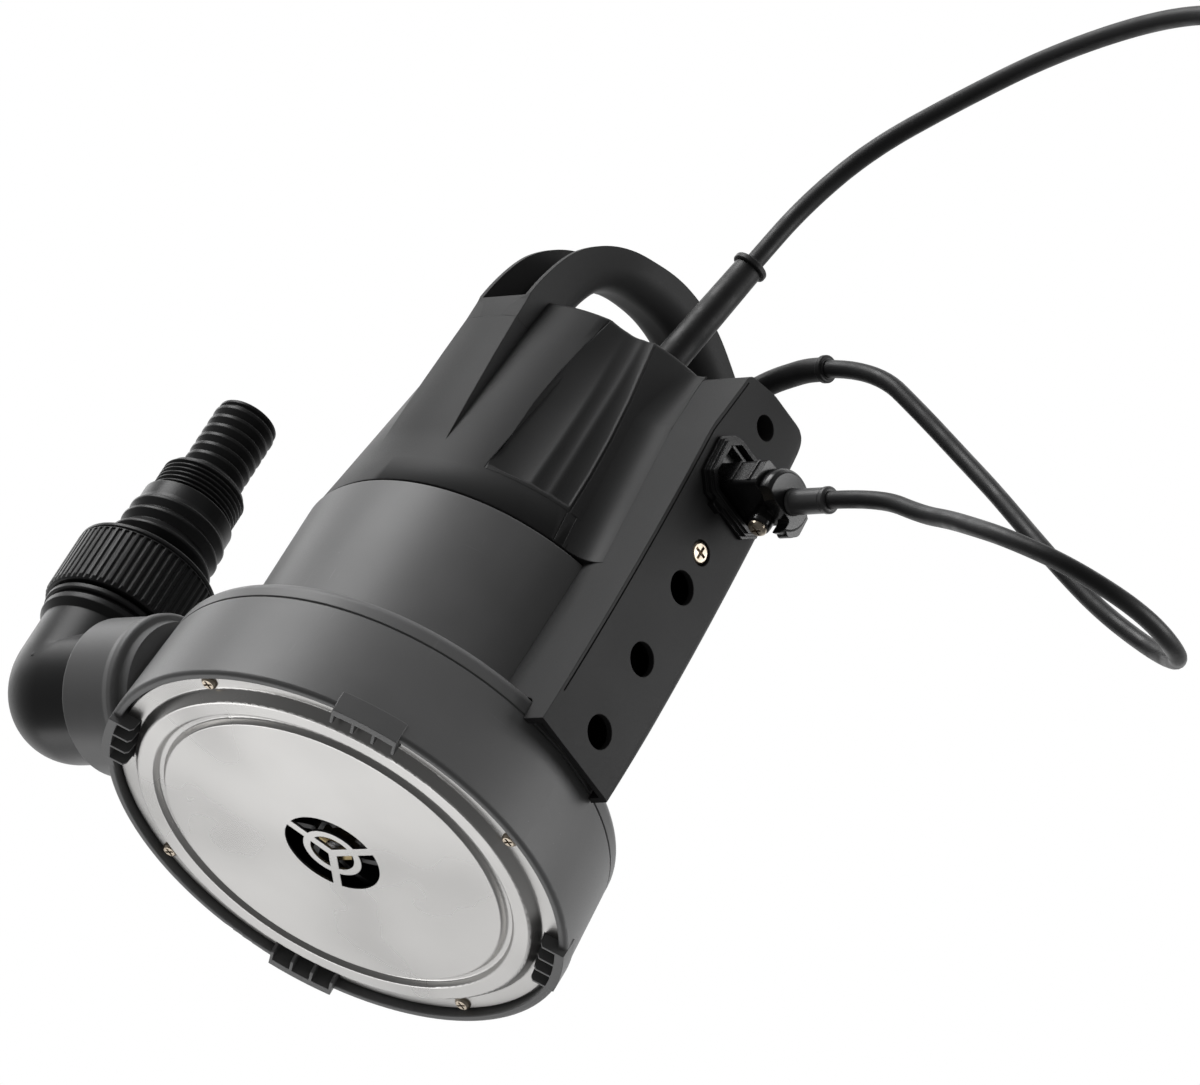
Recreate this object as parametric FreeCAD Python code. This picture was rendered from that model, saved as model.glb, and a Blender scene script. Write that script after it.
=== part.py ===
import FreeCAD, Part
import math
import os

V = FreeCAD.Vector

# Submersible sump pump, millimetres.
# Origin: pump axis, in the plane the feet stand on. +Z up, +X towards the
# level rail, the outlet leaves along -X on the -Y side, the handle runs
# along Y.

# ---------------------------------------------------------------- dimensions
RIM_R = 95.0            # outer radius of the skirt at its rim
RIM_Z = 2.5             # height of the rim's lower face over the feet
SKIRT_TOP_R = 92.4      # radius where the skirt wall ends
SKIRT_TOP_Z = 42.4
SHOULDER_Z = 51.0       # top of the casing
PLATE_R = 90.0          # suction plate
PLATE_T = 1.0
PLATE_FLANGE_Z = 5.6
DISC_Z = 1.06           # lower face of the plate's inner disc
SCREW_R = 87.0          # plate screws on this radius
STR_R0, STR_R1, STR_R2 = 9.0, 12.0, 19.5   # strainer: eye, ring, outer slots
SPOKE_W = 3.5
FOOT_AZ = (45.0, 135.0, 225.0, 315.0)
FOOT_W = 26.0
RIB_W = 1.1
RIB_PITCH = 8.3
SLEEVE_R = 74.0         # lower housing
SLEEVE_RI = 70.6
SLEEVE_TOP = 118.7
COVER_Z0 = 119.6        # lower edge of the upper cover
COVER_R0 = 73.4
DECK_Z = 224.0
DECK_R = 60.5
COVER_T = 3.0
HANDLE_HW = 13.0        # half width of the handle
LEG_HW = 17.0           # half width of the handle legs at z = 145
HANDLE_Z0 = 207.0       # joint of the handle with the cover
HANDLE_T = 2.0
RAIL_Y0, RAIL_Y1 = -25.0, 22.6
RAIL_Z0, RAIL_Z1 = 41.0, 225.8
RAIL_X0 = 99.3          # face of the rail at z = 30, arc of radius RAIL_ARC
RAIL_ARC = 1500.0
RAIL_T = 2.6
RAIL_HOLES = (57.4, 93.3, 129.0)
RAIL_HOLE_R = 6.5
RAIL_SCREW_Z = 146.6
RAIL_TOP_HOLE_Z = 210.3
SENSOR_Y, SENSOR_Z = 6.0, 176.5
OUT_Y, OUT_Z = -54.4, 31.5      # outlet axis
SOCKET_R, SOCKET_RI = 29.5, 25.1
SOCKET_X = -90.0
ELBOW_X = -117.9        # vertical axis of the elbow
ELBOW_R, ELBOW_RI, ELBOW_RC = 24.5, 19.0, 8.0
SHAFT_R = 5.96
BEARING_RI, BEARING_RO = 6.0, 16.0
STATOR_Z0, STATOR_Z1 = 82.0, 146.0
CORD_D = 7.2
LEAD_D = 6.8
GLAND1 = ((36.0, -16.5, 224.0), (50.0, -16.5, 280.5))
COIL_C = (232.0, 248.0)
COIL_R = 50.0           # middle of the turns
COIL_W = 36.0           # width of the wound section
COIL_H = 42.0

parts = {}


# ------------------------------------------------------------------- helpers
def wire2d(pts, to3d):
    """Closed wire through 2-D corners (a, b[, r]); r rounds the corner."""
    n = len(pts)
    pp = [(p[0], p[1], p[2] if len(p) > 2 else 0.0) for p in pts]
    ends = []
    for i in range(n):
        a, b, r = pp[i]
        if r <= 0:
            ends.append(((a, b), (a, b), None))
            continue
        pa, pb = pp[i - 1], pp[(i + 1) % n]
        u = (pa[0] - a, pa[1] - b)
        v = (pb[0] - a, pb[1] - b)
        lu, lv = math.hypot(*u), math.hypot(*v)
        u = (u[0] / lu, u[1] / lu)
        v = (v[0] / lv, v[1] / lv)
        c = max(-1.0, min(1.0, u[0] * v[0] + u[1] * v[1]))
        half = math.acos(c) / 2
        t = r / math.tan(half)
        t = min(t, 0.49 * lu, 0.49 * lv)
        rr = t * math.tan(half)
        s = (a + u[0] * t, b + u[1] * t)
        e = (a + v[0] * t, b + v[1] * t)
        w = (u[0] + v[0], u[1] + v[1])
        lw = math.hypot(*w)
        d = rr / math.sin(half)
        cx, cy = a + w[0] / lw * d, b + w[1] / lw * d
        m = (a - cx, b - cy)
        lm = math.hypot(*m)
        mid = (cx + m[0] / lm * rr, cy + m[1] / lm * rr)
        ends.append((s, e, mid))
    edges = []
    for i in range(n):
        s, e, mid = ends[i]
        if mid is not None:
            edges.append(Part.Arc(to3d(*s), to3d(*mid), to3d(*e)).toShape())
        nx = ends[(i + 1) % n][0]
        if math.hypot(nx[0] - e[0], nx[1] - e[1]) > 1e-6:
            edges.append(Part.makeLine(to3d(*e), to3d(*nx)))
    return Part.Wire(edges)


def rev(pts, cx=0.0, cy=0.0):
    """Solid of revolution about the vertical through (cx, cy)."""
    w = wire2d(pts, lambda a, b: V(a, 0, b))
    s = Part.Face(w).revolve(V(0, 0, 0), V(0, 0, 1), 360)
    s.translate(V(cx, cy, 0))
    return s


def rev_axis(pts, base, direction):
    """Solid of revolution: (r, s) about the line base + s * direction."""
    w = wire2d(pts, lambda a, b: V(a, 0, b))
    s = Part.Face(w).revolve(V(0, 0, 0), V(0, 0, 1), 360)
    rot = FreeCAD.Rotation(V(0, 0, 1), V(*direction))
    s.Placement = FreeCAD.Placement(V(*base), rot)
    return s


def ext_x(pts, x0, x1):
    w = wire2d(pts, lambda a, b: V(x0, a, b))
    return Part.Face(w).extrude(V(x1 - x0, 0, 0))


def ext_y(pts, y0, y1):
    w = wire2d(pts, lambda a, b: V(a, y0, b))
    return Part.Face(w).extrude(V(0, y1 - y0, 0))


def ext_z(pts, z0, z1):
    w = wire2d(pts, lambda a, b: V(a, b, z0))
    return Part.Face(w).extrude(V(0, 0, z1 - z0))


def cyl(r, p0, p1):
    a, b = V(*p0), V(*p1)
    return Part.makeCylinder(r, (b - a).Length, a, b - a)


def box(x0, y0, z0, x1, y1, z1):
    return Part.makeBox(x1 - x0, y1 - y0, z1 - z0, V(x0, y0, z0))


def turned(shape, az):
    s = shape.copy()
    s.rotate(V(0, 0, 0), V(0, 0, 1), az)
    return s


def fuse(first, *others):
    s = first.fuse(list(others)) if others else first
    return s.removeSplitter()


def cut(shape, *tools):
    return shape.cut(list(tools))


def put(name, *shapes):
    solids = []
    for s in shapes:
        solids += s.Solids
    assert solids, name
    parts[name] = solids[0] if len(solids) == 1 else Part.makeCompound(solids)


def cross_screw(head_r, head_h, shank_r, length, base, direction, dome=0.6):
    """Pan-head screw with a cross recess; base is the top of the head."""
    prof = [
        (0, 0), (head_r - dome - 0.2, 0, 0.4), (head_r, dome + 0.3, 0.5), (head_r, head_h),
        (shank_r, head_h), (shank_r, length - 1.2), (shank_r - 0.8, length), (0, length),
    ]
    s = Part.Face(wire2d(prof, lambda a, b: V(a, 0, b))).revolve(V(0, 0, 0), V(0, 0, 1), 360)
    arm, wid, dep = head_r * 0.62, head_r * 0.24, head_h * 0.62
    c = box(-arm, -wid / 2, -0.1, arm, wid / 2, dep).fuse(box(-wid / 2, -arm, -0.1, wid / 2, arm, dep))
    s = s.cut(c)
    s.Placement = FreeCAD.Placement(V(*base), FreeCAD.Rotation(V(0, 0, 1), V(*direction)))
    return s


def tube_path(pts):
    """Straight runs joined by tangent arcs; returns the wire and prints radii."""
    P = [V(*p) for p in pts]
    edges, radii, last = [], [], P[0]
    for i in range(1, len(P) - 1):
        a, b = P[i - 1] - P[i], P[i + 1] - P[i]
        la, lb = a.Length, b.Length
        a.normalize()
        b.normalize()
        ang = math.pi - a.getAngle(b)
        t = 0.45 * min(la, lb)
        r = t / math.tan(ang / 2)
        s, e = P[i] + a * t, P[i] + b * t
        w = a + b
        w.normalize()
        c = P[i] + w * (r / math.cos(ang / 2))
        m = c - w * r
        edges.append(Part.makeLine(last, s))
        edges.append(Part.Arc(s, m, e).toShape())
        radii.append(r)
        last = e
    edges.append(Part.makeLine(last, P[-1]))
    return Part.Wire(edges), radii


def tube(name, pts, dia):
    w, radii = tube_path(pts)
    d = V(*pts[1]) - V(*pts[0])
    circ = Part.Wire([Part.makeCircle(dia / 2, V(*pts[0]), d)])
    s = w.makePipeShell([circ], True, False)
    area = math.pi * dia * dia / 4
    print("%s length %.1f min radius %.1f volume ratio %.4f valid %s" % (
        name, w.Length, min(radii), s.Volume / (area * w.Length), s.isValid()))
    print("   radii", [round(r) for r in radii])
    return s


# --------------------------------------------------------------- base casing
casing = rev([
    (0, 8.0), (91.4, 8.0), (91.4, RIM_Z, 0.7), (RIM_R, RIM_Z, 1.8), (SKIRT_TOP_R, SKIRT_TOP_Z),
    (91.7, SKIRT_TOP_Z + 0.2), (91.7, 43.2), (92.3, 43.4), (92.0, SHOULDER_Z, 8.0),
    (76.4, SHOULDER_Z), (0, SHOULDER_Z),
])
neck = rev_axis([
    (0, 0), (27.0, 0), (27.0, 4.0, 0.8), (30.4, 4.6, 1.6), (30.4, 7.6, 2.5), (SOCKET_R, 10.6, 2.5),
    (SOCKET_R, -SOCKET_X - 58.0, 0.8), (0, -SOCKET_X - 58.0),
], (-58.0, OUT_Y, OUT_Z), (-1, 0, 0))
neck = neck.cut(cyl(75.4, (0, 0, SHOULDER_Z), (0, 0, 90)))
casing = fuse(casing, neck)
tools = [
    cyl(91.4, (0, 0, -5), (0, 0, 7.6)),                                   # plate recess
    cyl(40.0, (0, 0, 45), (0, 0, 60)),                                    # seal carrier seat
    cyl(69.0, (-3, -5, 5), (-3, -5, 45.5)),                               # volute
    cyl(SOCKET_RI, (SOCKET_X - 1, OUT_Y, OUT_Z), (-77.5, OUT_Y, OUT_Z)),  # elbow socket
    cyl(13.8, (-79, OUT_Y, OUT_Z), (-18, OUT_Y, OUT_Z)),                  # tangential throat
]
casing = cut(casing, *tools)
for az in (0, 90, 180, 270):
    casing = casing.cut(turned(cyl(1.95, (SCREW_R, 0, 5), (SCREW_R, 0, 20)), az))
for az in FOOT_AZ:
    casing = casing.cut(turned(box(83.6, -FOOT_W / 2 + 0.3, 5, 91.5, FOOT_W / 2 - 0.3, 15.5), az))
feet = []
for az in FOOT_AZ:
    wall = cyl(95.0, (0, 0, 0), (0, 0, 9.0)).cut(cyl(91.4, (0, 0, -1), (0, 0, 10)))
    wall = wall.common(box(60, -FOOT_W / 2, -1, 100, FOOT_W / 2, 12))
    pieces = [turned(wall, az)]
    for k in (-1.5, -0.5, 0.5, 1.5):
        y = k * RIB_PITCH
        rib = ext_y([(84.2, 1.4, 0.8), (85.4, 0.0, 0.5), (92.0, 0.0), (92.0, 15.5), (83.6, 15.5), (83.6, 7.0)],
                    y - RIB_W / 2, y + RIB_W / 2)
        pieces.append(turned(rib, az))
    feet += pieces
casing = fuse(casing, *feet)
for i in range(4):                                                        # deck tie screw holes
    casing = casing.cut(turned(cyl(2.0, (64.0, 0, 44), (64.0, 0, 52)), 22.5 + 90 * i))
put("base_casing", casing)

# -------------------------------------------------------------- suction plate
T = PLATE_T
plate = rev([
    (0, DISC_Z), (69.2, DISC_Z, 0.8), (70.4, 3.4, 0.8), (72.7, 3.4, 0.8), (74.0, 1.3, 0.8), (80.6, 1.3, 1.3),
    (83.4, PLATE_FLANGE_Z, 0.8), (PLATE_R, PLATE_FLANGE_Z), (PLATE_R, PLATE_FLANGE_Z + T),
    (82.8, PLATE_FLANGE_Z + T, 0.8), (80.0, 1.3 + T, 0.8), (74.6, 1.3 + T, 0.6), (73.3, 3.4 + T, 0.8),
    (69.8, 3.4 + T, 0.8), (68.6, DISC_Z + T, 0.6), (0, DISC_Z + T),
])
slot = cyl(STR_R2, (0, 0, -1), (0, 0, 4)).cut(cyl(STR_R1, (0, 0, -1), (0, 0, 4)))
eye = cyl(STR_R0, (0, 0, -1), (0, 0, 4))
spokes = [turned(box(-1, -SPOKE_W / 2, -2, 30, SPOKE_W / 2, 5), a) for a in (0, 120, 240)]
plate = plate.cut(fuse(slot, eye).cut(spokes))
for az in (0, 90, 180, 270):
    plate = plate.cut(turned(cyl(2.25, (SCREW_R, 0, 3), (SCREW_R, 0, 9)), az))
for az in FOOT_AZ:
    plate = plate.cut(turned(box(83.3, -FOOT_W / 2 - 0.3, 3, 95, FOOT_W / 2 + 0.3, 9), az))
put("suction_plate", plate)

gasket = rev([(84.3, 6.6), (90.6, 6.6), (90.6, 7.6), (84.3, 7.6)])
for az in (0, 90, 180, 270):
    gasket = gasket.cut(turned(cyl(2.3, (SCREW_R, 0, 6), (SCREW_R, 0, 9)), az))
for az in FOOT_AZ:
    gasket = gasket.cut(turned(box(83.3, -FOOT_W / 2 - 0.3, 3, 95, FOOT_W / 2 + 0.3, 9), az))
put("plate_gasket", gasket)
put("plate_screws", *[turned(cross_screw(3.1, 1.7, 1.85, 13.0, (SCREW_R, 0, 3.9), (0, 0, 1)), a)
                      for a in (0, 90, 180, 270)])

# --------------------------------------------------------- hydraulics, rotor
imp = fuse(cyl(11.0, (0, 0, 9.0), (0, 0, 24.0)), cyl(50.0, (0, 0, 20.0), (0, 0, 23.0)))
vane_pts = []
for k in range(12):
    f = k / 11.0
    r = 10.0 + 39.0 * f
    vane_pts.append((r, math.radians(-78.0 * f ** 0.8)))
inner = [((r - 0.0) * math.cos(a), (r - 0.0) * math.sin(a)) for r, a in vane_pts]


def offset_curve(pts, d):
    out = []
    for i, (x, y) in enumerate(pts):
        x0, y0 = pts[max(i - 1, 0)]
        x1, y1 = pts[min(i + 1, len(pts) - 1)]
        tx, ty = x1 - x0, y1 - y0
        l = math.hypot(tx, ty)
        out.append((x - ty / l * d, y + tx / l * d))
    return out


va, vb = offset_curve(inner, 1.3), offset_curve(inner, -1.3)


def vane(z0, z1):
    ca = Part.BSplineCurve()
    ca.interpolate([V(x, y, z0) for x, y in va])
    cb = Part.BSplineCurve()
    cb.interpolate([V(x, y, z0) for x, y in vb])
    w = Part.Wire([ca.toShape(), Part.makeLine(V(*va[-1], z0), V(*vb[-1], z0)), cb.toShape(),
                   Part.makeLine(V(*vb[0], z0), V(*va[0], z0))])
    return Part.Face(w).extrude(V(0, 0, z1 - z0))


v0 = vane(5.6, 20.5)
imp = fuse(imp, *[turned(v0, 60 * k) for k in range(6)])
imp = imp.cut(cyl(6.0, (0, 0, 0), (0, 0, 30)))
put("impeller", imp)

hexa = [(7.5 * math.cos(math.radians(60 * k)), 7.5 * math.sin(math.radians(60 * k))) for k in range(6)]
nut = ext_z(hexa, 3.6, 8.9).cut(cyl(4.02, (0, 0, 0), (0, 0, 12)))
put("impeller_nut", nut)

shaft = rev([(0, 3.0), (3.6, 3.0), (4.0, 3.4), (4.0, 9.0), (SHAFT_R, 9.0), (SHAFT_R, 184.0, 0.6), (0, 184.0)])
put("rotor_shaft", shaft)
rotor = fuse(cyl(27.4, (0, 0, STATOR_Z0), (0, 0, STATOR_Z1)), cyl(24.0, (0, 0, STATOR_Z0 - 5), (0, 0, STATOR_Z1 + 5)))
rotor = rotor.cut(cyl(6.0, (0, 0, 0), (0, 0, 200)))
put("rotor_core", rotor)

# ------------------------------------------------------------- seal, bearings
carrier = rev([
    (14.0, 40.0), (39.9, 40.0), (39.9, SHOULDER_Z), (70.2, SHOULDER_Z), (70.2, 57.0), (24.0, 57.0, 2.0),
    (20.5, 62.0), (BEARING_RO, 62.0), (BEARING_RO, 52.0), (8.0, 52.0), (8.0, 50.0), (14.0, 50.0),
])
for i in range(4):
    carrier = carrier.cut(turned(cyl(2.3, (64.0, 0, 50), (64.0, 0, 58)), 22.5 + 90 * i))
put("seal_carrier", carrier)
put("tie_screws", *[turned(cross_screw(4.0, 2.6, 1.9, 15.0, (64.0, 0, 59.6), (0, 0, -1)), 22.5 + 90 * i)
                    for i in range(4)])
put("shaft_seal", rev([(6.05, 41.0), (13.9, 41.0), (13.9, 50.0), (9.0, 50.0), (9.0, 44.0), (6.05, 43.5)]))


def bearing(z0):
    outer = rev([(13.4, z0), (BEARING_RO, z0, 0.5), (BEARING_RO, z0 + 10, 0.5), (13.4, z0 + 10)])
    inner_r = rev([(BEARING_RI, z0), (8.8, z0), (8.8, z0 + 10), (BEARING_RI, z0 + 10)])
    shield = rev([(8.8, z0 + 0.8), (13.4, z0 + 0.8), (13.4, z0 + 9.2), (8.8, z0 + 9.2)])
    return fuse(outer, inner_r, shield)


put("lower_bearing", bearing(52.0))
put("upper_bearing", bearing(168.0))
bracket = rev([
    (8.0, 165.0), (49.9, 165.0), (49.9, 170.0), (24.0, 170.0, 2.0), (19.0, 178.0, 1.0), (BEARING_RO, 178.0),
    (BEARING_RO, 168.0), (8.0, 168.0),
])
put("upper_bracket", bracket)
stator = cyl(50.0, (0, 0, STATOR_Z0), (0, 0, STATOR_Z1)).cut(cyl(27.9, (0, 0, 60), (0, 0, 170)))
bars = [turned(box(29.6, -2.6, 60, 42.0, 2.6, 170), 15 * k) for k in range(24)]
stator = stator.cut(bars)
put("stator_core", stator)
w0 = rev([(29.5, 68.0, 2), (44.5, 68.0, 4), (44.5, 81.6, 1), (29.5, 81.6, 1)])
w1 = rev([(29.5, 146.4, 1), (44.5, 146.4, 1), (44.5, 160.0, 4), (29.5, 160.0, 2)])
legs = [turned(box(30.4, -2.2, 80.0, 41.2, 2.2, 148.0), 15 * k) for k in range(24)]
put("windings", fuse(w0, w1, *legs))
can = rev([(50.05, 57.0), (51.6, 57.0), (51.6, 172.0), (50.05, 172.0)])
put("motor_can", can)
put("run_capacitor", rev_axis([(0, 0), (15.5, 0, 1.2), (15.5, 58, 1.2), (0, 58)], (-34.5, -29, 185.8), (0, 1, 0)))
cap_clip = ext_y([(-47, 170.0), (-26.5, 170.0), (-26.5, 172.2), (-47, 172.2)], -8, 8)
cap_clip = cap_clip.cut(cyl(15.5, (-34.5, -30, 185.8), (-34.5, 30, 185.8)))
put("capacitor_cradle", cap_clip)
tb = box(26.5, -18, 170.0, 42.0, 18, 186.0)
for k in range(3):
    tb = tb.cut(cyl(2.2, (33.0, -11 + 11 * k, 180), (33.0, -11 + 11 * k, 190)))
put("terminal_block", tb)

# --------------------------------------------------------------- lower housing
sleeve = rev([
    (SLEEVE_RI, SHOULDER_Z), (SLEEVE_R, SHOULDER_Z, 0.5), (SLEEVE_R, SLEEVE_TOP, 0.6), (SLEEVE_RI, SLEEVE_TOP),
])
put("lower_housing", sleeve)
put("housing_seal", rev([(68.2, 112.2), (70.4, 112.2), (70.4, 114.6), (68.2, 114.6)]))

# ----------------------------------------------------------------- upper cover
slope = (COVER_R0 - DECK_R) / (DECK_Z - COVER_Z0)
outer = [
    (67.0, 115.0), (70.4, 115.0), (70.4, SLEEVE_TOP), (72.5, SLEEVE_TOP), (72.5, COVER_Z0), (COVER_R0, COVER_Z0, 0.4),
    (DECK_R, DECK_Z, 2.2), (0, DECK_Z), (0, DECK_Z - COVER_T), (DECK_R - COVER_T - 0.6, DECK_Z - COVER_T, 3.0),
    (67.0, 136.0),
]
cover = rev(outer)
cone_solid = rev([(0, 60), (SLEEVE_R, 60), (SLEEVE_R, SLEEVE_TOP), (COVER_R0, COVER_Z0), (DECK_R, DECK_Z, 2.2), (0, DECK_Z)])


legs = []
leg_skin = rev([(58.0, 143.0), (70.45, 143.0), (70.5, 160), (70.4, 175), (70.2, 190), (69.8, HANDLE_Z0), (58.0, HANDLE_Z0)])
leg_skin = leg_skin.cut(rev([(0, 110), (69.9, 110), (69.9, 136), (DECK_R - COVER_T, DECK_Z), (0, DECK_Z)]))
for sg in (1, -1):
    legs.append(leg_skin.common(ext_y([(-LEG_HW, 140.0), (LEG_HW, 140.0), (HANDLE_HW, HANDLE_Z0), (-HANDLE_HW, HANDLE_Z0)],
                                      30.0 * sg, 90.0 * sg)))
cover = fuse(cover, *legs)
# Concave flutes on the front left shoulder, running up the cone.
flutes = []


def flute(az0, z0, r0, az1, z1, r1, rad0, rad1):
    a0, a1 = math.radians(az0), math.radians(az1)
    p0 = V(r0 * math.cos(a0), r0 * math.sin(a0), z0)
    p1 = V(r1 * math.cos(a1), r1 * math.sin(a1), z1)
    return Part.makeCone(rad0, rad1, (p1 - p0).Length, p0, p1 - p0)


def cone_r(z):
    return COVER_R0 - slope * (z - COVER_Z0)


flutes.append(flute(-52.5, 137.0, cone_r(137) + 6.2, -48.6, 232.0, cone_r(232) + 3.6, 8.8, 6.4))
flutes.append(flute(-41.5, 137.5, cone_r(137) + 4.2, -42.6, 232.0, cone_r(232) + 2.6, 6.4, 5.6))
flutes.append(flute(-34.6, 138.0, cone_r(137) + 2.6, -38.0, 232.0, cone_r(232) + 2.4, 4.4, 4.2))
cover = cover.cut(flutes)
tower = cyl(9.0, (36.0, -16.5, 221.0), (36.0, -16.5, 224.6)).fuse(cyl(8.0, (36.0, 16.0, 221.0), (36.0, 16.0, 224.6)))
cover = fuse(cover, tower)
cover = cover.cut([cyl(3.8, (36.0, -16.5, 215), (36.0, -16.5, 230)), cyl(3.6, (36.0, 16.0, 215), (36.0, 16.0, 230))])

# -------------------------------------------------------------- carrying handle
half = [(0, 281.0), (13.4, 279.7), (21, 277.6), (28, 275.0), (34.8, 272.2), (43.2, 267.4), (50.6, 261.4), (57.4, 253.6),
        (61.8, 246.5), (64.6, 239.4), (67.3, 229.2), (68.8, 220.0), (69.4, 213.0), (69.6, HANDLE_Z0)]
inn = [(0, 265.8), (7.2, 265.3), (17.2, 263.0), (26.5, 259.4), (34.0, 254.2), (38.8, 248.0), (41.4, 241.4), (43.1, 234.6),
       (43.7, 229.0), (43.8, DECK_Z)]


def smooth(pts, x):
    c = Part.BSplineCurve()
    c.interpolate([V(x, y, z) for y, z in pts])
    return c.toShape()


def arch(po, pi_, x0, x1, zlow):
    """Solid between an outer and an inner (y, z) curve, down to zlow."""
    full_o = [(-y, z) for y, z in reversed(po)] + [(y, z) for y, z in po[1:]]
    full_i = [(-y, z) for y, z in reversed(pi_)] + [(y, z) for y, z in pi_[1:]]
    edges = [smooth(full_o, x0), smooth(full_i, x0)]
    for k in (0, -1):
        (yo, zo), (yi, zi) = full_o[k], full_i[k]
        edges.append(Part.makeLine(V(x0, yo, zo), V(x0, yi, zlow)))
        if zi > zlow + 1e-6:
            edges.append(Part.makeLine(V(x0, yi, zlow), V(x0, yi, zi)))
    w = Part.Wire(Part.__sortEdges__(edges))
    return Part.Face(w).extrude(V(x1 - x0, 0, 0))


def offset_arch(d):
    """The inner curve moved outwards by d."""
    out = []
    for i, (y, z) in enumerate(inn):
        ya, za = inn[i - 1] if i else (-inn[1][0], inn[1][1])
        yb, zb = inn[min(i + 1, len(inn) - 1)]
        ty, tz = yb - ya, zb - za
        l = math.hypot(ty, tz)
        out.append((y - tz / l * d, z + ty / l * d) if i else (0.0, z + d))
    out[-1] = (out[-1][0], 218.0)
    return out


handle = arch(half, inn, -HANDLE_HW, HANDLE_HW, HANDLE_Z0)
rim = []
for e in handle.Edges:
    bb, mid = e.BoundBox, e.valueAt((e.FirstParameter + e.LastParameter) / 2)
    if abs(abs(bb.XMin) - HANDLE_HW) < 1e-3 and bb.XLength < 1e-3 and bb.YMax < 44.5 and bb.YMin > -44.5 and bb.ZLength > 10:
        rim.append(e)
print("handle rim edges", len(rim), [round(e.Length, 1) for e in rim])
handle = handle.makeFillet(10.0, rim)
far = [(0, 292.0), (30, 290), (50, 279), (66, 262), (77, 242), (80, 228), (80, 218.0)]
for d, w in ((10.5, HANDLE_HW - HANDLE_T), (6.5, 9.0), (3.2, 4.5)):
    handle = handle.cut(arch(far, offset_arch(d), -w, w, 218.0))
handle = handle.cut(rev([(0, 200), (cone_r(200), 200), (DECK_R, DECK_Z, 2.2), (0, DECK_Z)]))
handle = handle.common(rev([(0, 200), (69.8, 200), (69.8, 216), (71.5, 232), (90, 240), (90, 300), (0, 300)]))
put("carrying_handle", handle)
cover = cover.cut(handle)
put("upper_cover", cover)


# ------------------------------------------------------------------ level rail
def rail_x(z):
    return RAIL_X0 - (z - 30.0) ** 2 / (2 * RAIL_ARC)


def rail_edge(z):
    """The crisp edge of the face, on the -Y side."""
    return -25.4 + (z - 41.0) * 2.2 / 148.0 if z < 189 else -23.2 + (z - 189.0) * 0.1715


def rail_block(inset, z0, z1, rt):
    """Rail bar: section swept along the curved face, trimmed to its outline."""
    y1 = RAIL_Y1 - inset
    x1 = RAIL_X0 - inset
    w = wire2d([(46.0, -29.0), (x1, -29.0), (x1, y1, 5.4 - inset), (46.0, y1)], lambda a, b: V(a, b, 30.0))
    bar = Part.Face(w).revolve(V(RAIL_X0 - RAIL_ARC, 0, 30.0), V(0, -1, 0), 9.0)
    k = 0.4 * inset
    dz = RAIL_Z1 - z1
    outline = ext_x([(rail_edge(41.0) + inset, z0), (-23.2 + inset, 189.0, 60.0), (-17.6 + inset, 220.8 - dz, 4.0 - k),
                     (1.5, z1, 30.0), (y1 - 1.8, z1 - 0.8, 17.0 - k), (y1, 168.0, 60.0), (y1, 112.0, 60.0), (y1 - 2.9, z0)], 40.0, 110.0)
    zt = z1 - rt
    k = (zt - 30.0) / RAIL_ARC
    xt = rail_x(zt) - inset
    trim = ext_y([(40.0, z0), (xt + k * (zt - z0) + 0.01, z0), (xt - k * rt + 0.01, z1, rt), (40.0, z1)], -60, 60)
    return bar.common(outline).common(trim)


back = cone_solid.fuse(cyl(SLEEVE_R, (0, 0, 40), (0, 0, 61)))
skirt_clear = rev([(0, 30), (93.6, 30), (92.9, 43.4), (92.6, SHOULDER_Z + 0.6, 8.0), (0, SHOULDER_Z + 0.6)])
rail_o = rail_block(0.0, RAIL_Z0, RAIL_Z1, 2.5)
rail_i = rail_block(RAIL_T, RAIL_Z0 - 2, RAIL_Z1 - RAIL_T, 1.5)
ribs = []
for z in (74.0, 111.0, 158.0, 196.0):
    ribs.append(box(48.0, rail_edge(z) + 1, z, rail_x(z) - 1.5, RAIL_Y1 - 1, z + 2.0).common(rail_o))
rail = rail_o.cut(rail_i)
rail = fuse(rail, *ribs)
boss = [cyl(7.0, (68.0, -0.0, RAIL_SCREW_Z), (rail_x(RAIL_SCREW_Z) - 1.2, 0, RAIL_SCREW_Z)),
        cyl(7.0, (58.0, -0.0, RAIL_TOP_HOLE_Z), (rail_x(RAIL_TOP_HOLE_Z) - 1.2, 0, RAIL_TOP_HOLE_Z))]
rail = fuse(rail, *boss)
rail = rail.cut([back, skirt_clear])
rail = rail.cut(box(39, -30, 223.95, 46, 30, 228))
tools = [cyl(RAIL_HOLE_R, (84.0 if z > 60 else 93.2, 0, z), (110, 0, z)) for z in RAIL_HOLES]
tools += [cyl(5.0, (rail_x(RAIL_SCREW_Z) - 2.2, 0, RAIL_SCREW_Z), (110, 0, RAIL_SCREW_Z)),
          cyl(2.3, (60, 0, RAIL_SCREW_Z), (110, 0, RAIL_SCREW_Z)),
          cyl(5.0, (rail_x(RAIL_TOP_HOLE_Z) - 9.0, 0, RAIL_TOP_HOLE_Z), (110, 0, RAIL_TOP_HOLE_Z)),
          cyl(2.3, (50, 0, RAIL_TOP_HOLE_Z), (110, 0, RAIL_TOP_HOLE_Z)),
          box(80, -13.9, 169.2, 110, 14.5, 190.4)]
rail = rail.cut(tools)
line = []                                                                 # fine line beside the crisp edge
for z in [56.0 + 9.5 * k for k in range(18)]:
    y, x = rail_edge(z) + 1.3, rail_x(z)
    line.append(Part.makePolygon([V(x - 0.45, y, z), V(x + 1.0, y, z), V(x + 1.0, y + 0.6, z), V(x - 0.45, y + 0.6, z), V(x - 0.45, y, z)]))
rail = rail.cut(Part.makeLoft(line, True, True))
big = max(rail.Solids, key=lambda s: s.Volume)
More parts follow.
